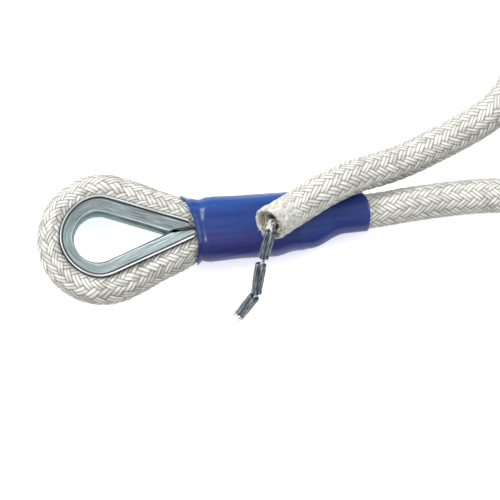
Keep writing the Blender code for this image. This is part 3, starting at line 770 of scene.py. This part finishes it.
def thimble_outline(depth):
    """The sheet's section, its face from rim to rim and then its back: pairs of a point (outward, up) in mm
    and the way from the face's middle (0) to a rim (1)."""
    half = [(0.0, 0.0), (0.0, 1.7), (0.15, 2.7), (0.55, 3.7), (1.15, 4.5), (1.6, 4.85), (3.0, 5.75),
            (4.6, 6.85), (6.1, 7.95), (6.85, 8.4), (7.2, 8.45)]
    line = smooth_curve([Vector((n * depth, z)) for n, z in half], 4)
    ways = [0.0]
    for a, b in zip(line, line[1:]):
        ways.append(ways[-1] + (b - a).length)
    ways = [way / ways[-1] for way in ways]
    face = [Vector((p.x, -p.y)) for p in line[:0:-1]] + line
    back = []
    for k, p in enumerate(face):
        step = (face[min(k + 1, len(face) - 1)] - face[max(k - 1, 0)]).normalized()
        back.append(p + Vector((step.y, -step.x)) * SHEET)
    for k, up in ((0, SHEET), (-1, -SHEET)):
        back[k] = face[k] + Vector((0.1, up))
    limit = RIM_HEIGHT - SHEET
    back = [Vector((p.x, max(-limit, min(limit, p.y)))) for p in back]
    return [*zip(face, ways[:0:-1] + ways), *((p, 1.0) for p in reversed(back))]


def thimble_ring(angle, run, side):
    """The section at an angle round the crown, run along its leg from the crown (0) to the tip (1)."""
    out = Vector((math.cos(angle), math.sin(angle), 0.0))
    along = Vector((math.cos(LEG_ANGLE), -side * math.sin(LEG_ANGLE), 0.0))
    outline = thimble_outline(CROWN_DEPTH + (1.0 - CROWN_DEPTH) * ease((math.cos(angle) + 1.0) / 1.2))
    spots = []
    for p, _ in outline:
        reach = leg_reach(p.x, p.y, *LEG_TIPS[side]) * run
        dent = 0.06 * cloud(angle * 4.0 + run * 3.0 * side, p.y * 0.3, 2.0)
        spots.append(EYE + out * (CROWN_R + (p.x + dent) * MM) + along * reach + UP * p.y * MM)
    return spots, [d for _, d in outline]


def thimble(mat):
    """A teardrop of pressed sheet, open outwards for the rope, with flared and flattened rims."""
    arc_end = math.pi / 2 - LEG_ANGLE
    leg_steps, arc_steps = 40, 110
    plan = [(arc_end, 1.0 - k / leg_steps, 1) for k in range(leg_steps)]
    plan += [(arc_end + 2 * (math.pi - arc_end) * k / arc_steps, 0.0, 1) for k in range(arc_steps + 1)]
    plan += [(-arc_end, k / leg_steps, -1) for k in range(1, leg_steps + 1)]
    rings, ways, distance = [], [], 0.0
    for place in plan:
        spots, heights = thimble_ring(*place)
        if rings:
            distance += (spots[len(spots) // 4] - rings[-1][len(spots) // 4]).length
        rings.append(spots)
        ways.append((distance, heights))
    count, last = len(rings[0]), len(rings) - 1
    faces, uvs = [], []

    def quad(*corners):
        faces.append(tuple(r * count + k for r, k in corners))
        uvs.extend((ways[r][0] * 50.0, ways[r][1][k]) for r, k in corners)

    for r in range(last):
        for k in range(count):
            n = (k + 1) % count
            quad((r, k), (r, n), (r + 1, n), (r + 1, k))
    for k in range(count // 2 - 1):
        quad((0, k), (0, count - 1 - k), (0, count - 2 - k), (0, k + 1))
        quad((last, k), (last, k + 1), (last, count - 2 - k), (last, count - 1 - k))
    verts = [p for ring in rings for p in ring]
    piece = make_piece("pressed_thimble", verts, faces, mat, "root", uvs, sharp=40.0)
    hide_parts("thimble")


# -------- sleeve

def sleeve_shift(y, x):
    """How far the sleeve's sections are drawn towards the eye, in mm."""
    eye_end = EDGE_BEND * (1.0 - ease((x - SLEEVE_START) / EDGE_FADE)) * (y - EDGE_Y) ** 2
    rope_end = END_BEND * (1.0 - ease((SLEEVE_END - x) / EDGE_FADE)) * (y - END_Y) ** 2
    return -eye_end - rope_end


def skin_table(table):
    """A leg as the sleeve covers it: a neck, then its full size, with the seizing's dent filled."""
    rest = [row for row in table if row[0] >= 50.0]
    return [row for row in table if row[0] < 42.0] + [(NECK_END, *rest[0][1:])] + rest


def sleeve_offset(x, y):
    """How far the sleeve's inside stands off the legs, in mm."""
    seizing = 0.42 * ease((x - 41.4) / 2.4) * (1.0 - ease((x - 46.0) / 12.0))
    flare = 0.75 * (1.0 - ease((x - SLEEVE_START) / 2.0))
    whipping = 0.35 * bump_at(x, 83.0, 9.0) * ease((2.0 - y) / 6.0)
    return SLEEVE_GAP + seizing + flare + whipping


SKIN_LEGS = [skin_table(table) for table in (STANDING_LEG, DEAD_LEG)]


def sleeve_ring(x, extra, count=132, directions=240):
    """An even ring round both legs at x, held off by the sleeve's offset and extra."""
    hull = []
    for turn in turns(directions):
        c, s = math.cos(turn), math.sin(turn)
        reaches = []
        for table in SKIN_LEGS:
            y, a, b = interpolate(table, x)
            y, a, b = interpolate(table, x + sleeve_shift(y + a * c, x))
            offset = sleeve_offset(x, y) + extra
            a, b = a + offset, b + offset
            h = math.hypot(a * c, b * s)
            reaches.append((y * c + h, y + a * a * c / h, b * b * s / h))
        hull.append(max(reaches)[1:])
    hull.append(hull[0])
    lengths = [0.0]
    for p, q in zip(hull, hull[1:]):
        lengths.append(lengths[-1] + math.dist(p, q))
    at = [lengths[-1] * k / count for k in range(count)]
    ys, zs = (np.interp(at, lengths, [p[axis] for p in hull]) for axis in (0, 1))
    return [(x + sleeve_shift(y, x), y, z) for y, z in zip(ys, zs)]


def sleeve_creases(x, y, z):
    """Relief on the sleeve's outside, in mm: wrinkles and a fold at the throat, drawn lines and waves."""
    wrinkle = 0.24 * bump_at(x, 42.5, 7.0) * cloud(x * 0.62, y * 0.12, z * 0.12)
    fold = 0.45 * bump_at(x, 44.0, 3.2) * bump_at(y, 6.0, 7.5) * ease(z / 4.0)
    drawn = 0.12 * cloud(x * 0.04, y * 0.40, z * 0.40 + 9.0)
    soft = 0.10 * cloud(x * 0.10, y * 0.22, z * 0.22 + 31.0)
    return wrinkle + fold + drawn + soft


def shrink_sleeve(mat):
    """The sleeve follows the legs, rises over the seizing at the throat and steps down past the dead end."""
    step = 0.6
    count = round((SLEEVE_END - SLEEVE_START) / step)
    xs = [SLEEVE_START + (SLEEVE_END - SLEEVE_START) * k / count for k in range(count + 1)]
    middle_y = 1.0
    rings = []
    for x in xs:
        edge = min(x - SLEEVE_START, SLEEVE_END - x)
        round_off = SLEEVE_WALL * 0.35 * (1.0 - ease(edge / 0.6))
        ring = []
        for px, y, z in sleeve_ring(x, SLEEVE_WALL - round_off):
            lift = 1.0 + sleeve_creases(px, y, z) * ease(edge / 2.0) / math.hypot(y - middle_y, z)
            ring.append(EYE + Vector((px, middle_y + (y - middle_y) * lift, z * lift)) * MM)
        rings.append(ring)
    for x in xs[::-1][::4] + [xs[0]]:
        rings.append([EYE + Vector(p) * MM for p in sleeve_ring(x, 0.0)])
    verts, faces = loft_data(rings, closed=True)
    piece = make_piece("sleeve_skin", verts, faces, mat, "root", sharp=50.0)
    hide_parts("shrink_sleeve")


# -------- cut end and lead string

def cut_end_axis(line):
    """The cut end's centre and the direction into the rope."""
    centre, tangent, *_ = line.at(line.length())
    return Vector(centre), -Vector(tangent)


def fibre(start, direction, length, radius, lean):
    """A thin tapering, slightly bent fibre."""
    across = spokes(direction)
    rings = []
    for t, width in ((0.0, 1.0), (0.5, 0.8), (1.0, 0.25)):
        middle = start + direction * length * t + lean * length * t * t
        rings.append([middle + across(turn) * radius * width for turn in (0.3, 2.4, 4.5)])
    return loft_data(rings)


def first_link_swings():
    """The first link's two ends, at rest and at both ends of its swing."""
    pivot, *ends = (Vector(p) * MM for p in (LINK_1_PIVOT, *LINKS["lead_link_1"]))
    angles = (-LINK_1_SWING, 0.0, LINK_1_SWING)
    turned = [Matrix.Rotation(math.radians(angle), 3, "Z") for angle in angles]
    return [[pivot + turn @ (p - pivot) for p in ends] for turn in turned]


def is_clear(point, swings, gap):
    """Whether a point keeps the gap to the first link wherever it swings."""
    for start, end in swings:
        nearest, t = geometry.intersect_point_line(point, start, end)
        if 0.0 <= t <= 1.0 and (point - nearest).length < gap:
            return False
    return True


def core_face(end, inward):
    """The inner braid's cut face, hollow in the middle and ragged, and its side down in the mouth."""
    profile = [(9.0, 3.05), (5.5, 3.1), (3.2, 3.35), (1.7, 3.75), (0.9, 4.1), (0.8, 4.4), (1.2, 4.65),
               (4.0, 4.72), (9.0, 4.72)]
    across = spokes(inward)
    rings = []
    for depth, radius in profile:
        ring = []
        for turn in turns(48):
            ragged = ring_cloud(turn, 4.0, depth * 1.5)
            r = min(radius + 0.35 * ragged, 4.78) * MM
            spoke = across(turn)
            d = (depth + (0.4 * ragged if depth < 3.0 else 0.0)) * MM
            d += CUT_SLANT * r * spoke.z * (1.0 - ease((depth - 2.0) / 7.0))
            ring.append(end + inward * d + spoke * r)
        rings.append(ring)
    return loft_data(rings, closed=True)


def cut_fibres(line, mat):
    """The inner braid's cut face and the tufts that stand out round the mouth."""
    end, inward = cut_end_axis(line)
    across = spokes(inward)
    swings = first_link_swings()
    draw = random.Random(4)
    parts = [core_face(end, inward)]
    for _ in range(900):
        radial = across(draw.uniform(0.0, 2 * math.pi))
        r = draw.uniform(4.0, 6.7) * MM
        depth = draw.uniform(-0.7, -0.1) * MM + (1.1 * MM if r < COVER_BORE else 0.0)
        start = end + radial * r + inward * (depth + CUT_SLANT * r * radial.z)
        splay = 0.10 + 0.45 * (r / MM - 5.0) / 2.0
        direction = (radial * splay - inward + scatter(draw, 0.6)).normalized()
        lean = scatter(draw, 0.5)
        length, thickness = draw.uniform(0.5, 1.2) * MM, draw.uniform(0.08, 0.18) * MM
        if is_clear(start + direction * length / 2, swings, LINK_R + 0.9 * MM):
            parts.append(fibre(start, direction, length, thickness, lean))
    verts, faces = join_data(parts)
    # painted shade for the fibre material: 0 at the cut, rising to 1 deep down in the mouth
    painted_mouth_shade = []
    for v in verts:
        spot = v - end
        depth = spot.dot(inward) - CUT_SLANT * (spot - inward * spot.dot(inward)).z
        painted_mouth_shade.append(ease((depth / MM - 0.9) / 1.4))
    uvs = [(painted_mouth_shade[k], 0.0) for face in faces for k in face]
    piece = make_piece("cut_end_fibres", verts, faces, mat, "root", uvs)
    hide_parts("cut_end_core")
    return piece


def lead_link(name, ends, mat, body, seed):
    """A cast bead: rounded shoulders, flats and seams along it, and a hollow at each end for the string."""
    start, end = (Vector(p) * MM for p in ends)
    axis = (end - start).normalized()
    across = spokes(axis)
    total, radius = (end - start).length / MM, LINK_R / MM
    shoulder = [(1.8, 1.0), (0.6, 1.2), (0.15, 1.4), (0.0, 1.6), (0.05, radius - 0.45), (0.3, radius - 0.12)]
    middle = [(0.6 + (total - 1.2) * k / 26, radius) for k in range(27)]
    stations = shoulder + middle + [(total - s, r) for s, r in reversed(shoulder)]
    count = 40
    seams = (0.9 + 0.2 * seed, 2.3, 4.0 + 0.1 * seed, 5.4)
    rings = []
    for s, r in stations:
        ring = []
        for turn in turns(count):
            raised = ease((r - 1.3) / 0.8) * ease(min(s, total - s) / 1.4)
            flats = -0.14 * (0.5 + 0.5 * math.cos(6.0 * turn + seed))
            seam = -0.34 * sum(bump_at(math.remainder(turn - at, 2 * math.pi), 0.0, 0.20) for at in seams)
            dents = 0.10 * ring_cloud(turn, 1.4, s * 0.35, seed) + 0.08 * ring_cloud(turn, 4.0, s * 0.8, seed)
            crimp = -0.18 * bump_at(s, total - 2.2, 0.5)
            size = (r + raised * (flats + seam + dents + crimp)) * MM
            ring.append(start + axis * s * MM + across(turn) * size)
        rings.append(ring)
    verts, faces = loft_data(rings)
    uvs = []
    for f in faces:
        for number, v in enumerate(f):
            row, k = divmod(v, count)
            if len(f) == 4 and number in (1, 2) and k == 0:
                k = count
            uvs.append((k / count, stations[row][0] / total))
    piece = make_piece(name + "_cast", verts, faces, mat, body, uvs, sharp=55.0)
    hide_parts(name)
    return piece


def twisted(points, radius, pitch, sides=12, taper_end=False):
    """A two-ply string along the points, in mm: a tube whose section is two lobes that turn along it."""
    line = [p * MM for p in smooth_curve(points, 8)]
    rings = []
    travelled = 0.0
    side = (line[1] - line[0]).normalized().cross(UP).normalized()
    for k, p in enumerate(line):
        along = (line[min(k + 1, len(line) - 1)] - line[max(k - 1, 0)]).normalized()
        side = (side - along * side.dot(along)).normalized()
        other = along.cross(side)
        if k:
            travelled += (p - line[k - 1]).length
        spin = 2 * math.pi * travelled / (pitch * MM)
        width = 1.0 - 0.6 * ease(k / len(line) * 3.0 - 2.0) if taper_end else 1.0
        ring = []
        for turn in turns(sides):
            size = radius * MM * (0.72 + 0.28 * abs(math.cos(turn - spin))) * width
            ring.append(p + (side * math.cos(turn) + other * math.sin(turn)) * size)
        rings.append(ring)
    return loft_data(rings)


def mouth_string(end, inward, first, down, draw):
    """Strings in the mouth: one crumpled up on its way to the first link, and five that end in the core."""
    across = spokes(inward)
    mouth = end - inward
    heap = mouth * 0.75 + first * 0.25
    loops = [heap + scatter(draw, 1.7) for _ in range(7)]
    way = [end + inward * 4.4, end + inward * 1.6 + across(0.0) * 0.5,
           *loops, first - down * 0.5, first + down * 0.9]
    parts = [twisted(way, 0.52, 2.6)]
    for turn in turns(5):
        spoke = across(turn + 0.4)
        way = [end + inward * 1.6 + spoke * 0.9, end + spoke * 1.7 + scatter(draw, 0.3),
               mouth + spoke * 1.1 + scatter(draw, 0.4), mouth + spoke * 0.2]
        parts.append(twisted(way, 0.40, 1.8, 8))
    return parts


def link_string(a, before, b, after):
    """Two strings from a link's end a to the next link's end b, along the links' axes before and after."""
    across = before.cross(UP).normalized()
    middle = (a + b) / 2
    thick = [a - before * 1.1, a + across * 0.35, middle - across * 0.2, b + after * 0.7]
    thin = [a - before * 0.5 - across * 0.5, middle - across * 0.8, b + after * 0.5 + across * 0.3]
    return [twisted(thick, 0.52, 2.2), twisted(thin, 0.36, 1.8, 8)]


def frayed_string(last, out, draw):
    """The zigzag at the string's free end, and the fibres that stand out of its tip."""
    across = out.cross(UP).normalized()
    level = Vector((out.x, out.y, 0.0)).normalized()
    zigzag = [last - out * 1.2, last + out * 0.7]
    for k in range(7):
        reach = 0.9 + (0.65 if k % 2 else -0.45)
        zigzag.append(last + level * reach + across * (0.75 * k - 2.25) + UP * (2.9 - 0.7 * reach))
    parts = [twisted(zigzag, 0.50, 2.0, 10, taper_end=True)]
    for _ in range(7):
        direction = (level + across * draw.uniform(-0.5, 0.9) + UP * draw.uniform(-0.1, 0.4)).normalized()
        start = (zigzag[-1] - direction * 0.2) * MM
        parts.append(fibre(start, direction, draw.uniform(0.5, 1.1) * MM, 0.10 * MM, scatter(draw, 0.2)))
    return parts


def string_pieces(line, mat):
    """The string at the mouth, between the links and at the free end."""
    end, inward = cut_end_axis(line)
    draw = random.Random(9)
    (a1, b1), (a2, b2), (a3, b3) = ([Vector(p) for p in ends] for ends in LINKS.values())
    d1, d2, d3 = ((b - a).normalized() for a, b in ((a1, b1), (a2, b2), (a3, b3)))
    plan = [
        ("string_at_mouth", "string_mouth", "root", mouth_string(end / MM, inward, a1, d1, draw)),
        ("string_1_2_twist", "string_1_2", "link_1", link_string(b1, d1, a2, d2)),
        ("string_2_3_twist", "string_2_3", "link_2", link_string(b2, d2, a3, d3)),
        ("string_frayed_tip", "string_tip", "link_3", frayed_string(b3, d3, draw)),
    ]
    pieces = []
    for name, node, body, parts in plan:
        verts, faces = join_data(parts)
        piece = make_piece(name, verts, faces, mat, body)
        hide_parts(node)
        pieces.append(piece)
    return pieces


# -------- coil ties

def tie_path(top):
    """The strap's closed way round the coil's section: (distance from the centre, height) points."""
    low, high = TIE_CORNER + MM, top - TIE_CORNER
    near, far = TIE_INNER + TIE_CORNER, TIE_OUTER - TIE_CORNER
    path = []
    for r, z, start in ((far, low, -90), (far, high, 0), (near, high, 90), (near, low, 180)):
        for k in range(9):
            angle = math.radians(start + 90 * k / 8)
            path.append((r + TIE_CORNER * math.cos(angle), z + TIE_CORNER * math.sin(angle)))
    dense = []
    for p, q in zip(path, path[1:] + path[:1]):
        steps = max(1, round(math.dist(p, q) / (1.2 * MM)))
        dense += [(p[0] + (q[0] - p[0]) * m / steps, p[1] + (q[1] - p[1]) * m / steps) for m in range(steps)]
    return dense


def coil_tie(name, mat):
    """A strap hugging the turns."""
    low, high = (Vector(p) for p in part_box(name))
    centre = Vector((COIL_CENTRE[0] + TIE_SHIFT[0], COIL_CENTRE[1] + TIE_SHIFT[1], 0.0))
    out = ((low + high) / 2 - centre).to_2d().to_3d().normalized()
    along = UP.cross(out)
    top = high.z - TIE_THICK
    path = tie_path(top)
    bevel = TIE_HALF - 0.4 * MM
    section = [(-TIE_HALF, 0.85), (-bevel, 1.0), (0.0, 1.0), (bevel, 1.0), (TIE_HALF, 0.85),
               (TIE_HALF, 0.15), (bevel, 0.0), (-bevel, 0.0), (-TIE_HALF, 0.15)]
    rings, ways, distance = [], [], 0.0
    for k, (r, z) in enumerate(path):
        before, after = path[k - 1], path[(k + 1) % len(path)]
        size = math.dist(before, after)
        nr, nz = (after[1] - before[1]) / size, (before[0] - after[0]) / size
        dip = 0.25 * MM * math.cos(2 * math.pi * (r - TIE_INNER) / COIL_PITCH) if z > top - MM else 0.0
        rings.append([centre + out * (r + nr * TIE_THICK * h) + UP * (z + nz * TIE_THICK * h - dip * abs(nz))
                      + along * w for w, h in section])
        ways.append(distance)
        distance += size / 2
    verts, faces = loft_data(rings, closed=True)
    count = len(section)
    uvs = [(ways[v // count] / 0.15, section[v % count][0] / (2 * TIE_HALF) + 0.5) for f in faces for v in f]
    piece = make_piece(name + "_strap", verts, faces, mat, "root", uvs, sharp=50.0)
    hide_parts(name)
    return piece


# -------- the whole

def main():
    camera()
    line = free_rope_line()
    rope = free_rope(line, rope_material("braid_white", 1.0, 0.52, 0.74))
    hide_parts("standing_rope", "rope_coil", "tail_rope", "cut_end_cover")
    fibres = cut_fibres(line, fibre_material())

    lead = lead_material()
    white = string_material("string_white", (0.95, 0.95, 0.94), (0.12, 0.13, 0.13))
    twine = string_material("twine_waxed", (0.72, 0.70, 0.62), (0.34, 0.33, 0.28))
    links = [lead_link(name, ends, lead, "link_" + name[-1], 1.3 * k)
             for k, (name, ends) in enumerate(LINKS.items(), 1)]
    strings = string_pieces(line, white)
    strap = strap_material()
    ties = [coil_tie(name, strap) for name in ("coil_tie_1", "coil_tie_2")]
    for name, mat in (("lead_link_4", lead), ("lead_link_5", lead), ("string_4_5", white),
                      ("throat_seizing", twine), ("tail_whipping", twine)):
        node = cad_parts[name]
        node.data.materials.clear()
        node.data.materials.append(mat)

    path = [tuple(line.at(s)[0]) for s in (*np.arange(0.0, line.length(), 4.0 * MM), line.length())]
    line.length()

    eye_rope(rope_material("braid_worked", 0.96, 0.44, 0.64))
    thimble(steel_material())
    shrink_sleeve(sleeve_material())
    studio()


main()
